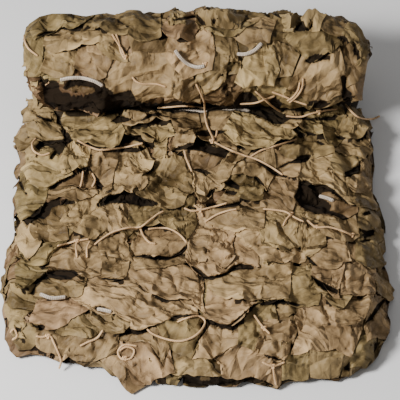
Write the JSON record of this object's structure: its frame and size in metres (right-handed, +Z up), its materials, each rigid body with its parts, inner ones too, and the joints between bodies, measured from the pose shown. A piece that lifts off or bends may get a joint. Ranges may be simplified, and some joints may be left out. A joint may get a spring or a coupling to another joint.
{
  "type": "camouflage netting",
  "caption": "Folded and partly rolled camouflage netting: leaf-cut garnish cloth in shingled rows on a knotted cord net.",
  "frame": {"origin": "on the floor, under the middle of the bundle's footprint", "axes": "+Z up; +Y from the pad's front edge to the roll at the back; +X to the right seen from the front"},
  "size_m": [0.4652, 0.5286, 0.1453],
  "materials": {
    "garnish": "crumpled polyester cloth with a dull sheen, dark in its folds",
    "leaf": "crumpled polyester cloth with a soft sheen",
    "net_cord": "twisted cord, matt",
    "edge_cord": "braided cord with light flecks, matt"
  },
  "bodies": {
    "root": {"garnish_cloth": "garnish", "leaf_row_pad_1": "leaf", "leaf_row_pad_2": "leaf", "leaf_row_pad_3": "leaf", "leaf_row_pad_4": "leaf", "leaf_row_pad_5": "leaf", "leaf_row_pad_6": "leaf", "leaf_row_pad_7": "leaf", "leaf_row_pad_8": "leaf", "leaf_row_pad_9": "leaf", "leaf_row_pad_10": "leaf", "leaf_row_roll_1": "leaf", "leaf_row_roll_2": "leaf", "leaf_row_roll_3": "leaf", "leaf_row_roll_4": "leaf", "leaf_row_roll_5": "leaf", "leaf_row_roll_6": "leaf", "leaf_row_roll_7": "leaf", "leaf_row_front": "leaf", "leaf_row_left": "leaf", "leaf_row_right": "leaf", "carrier_net_pad": "net_cord", "carrier_net_roll": "net_cord", "edge_cord": "edge_cord"}
  },
  "joints": []
}
